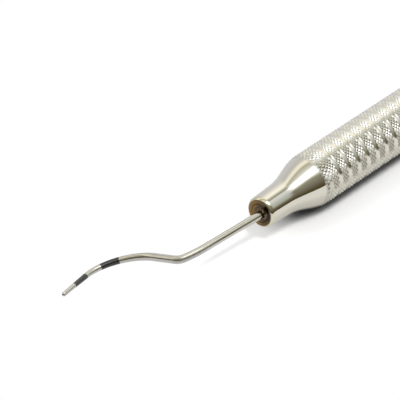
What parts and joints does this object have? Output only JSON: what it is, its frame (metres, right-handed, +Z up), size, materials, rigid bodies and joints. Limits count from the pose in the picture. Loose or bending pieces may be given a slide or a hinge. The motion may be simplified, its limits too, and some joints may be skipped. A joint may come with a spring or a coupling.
{
  "type": "colour-banded dental probe",
  "caption": "Single-ended dental probe: bent steel wire with black depth bands, brazed into a polished nose on a knurled hollow steel handle.",
  "frame": {"origin": "on the handle's axis, in the middle of the plain rear land", "axes": "+X along the handle's axis from the tip to the rear end, +Z up from the table that the grip and the bend rest on, +Y towards the side that the wire bends to"},
  "size_m": [0.1501, 0.0168, 0.0084],
  "materials": {
    "knurled_steel": "cross-knurled stainless steel with turned ring grooves",
    "polished_steel": "mirror-polished stainless steel",
    "wire_steel": "satin ground stainless steel",
    "black_band": "semi-gloss black band filling",
    "braze": "heat-tinted braze",
    "solder": "dull silver solder"
  },
  "bodies": {
    "root": {"handle_tube": "knurled_steel", "nose_cone": "polished_steel", "rear_cap": "polished_steel", "front_solder_ring": "solder", "rear_solder_ring": "solder", "probe_wire": "wire_steel", "lower_band": "black_band", "upper_band": "black_band", "shank_braze": "braze"}
  },
  "joints": []
}
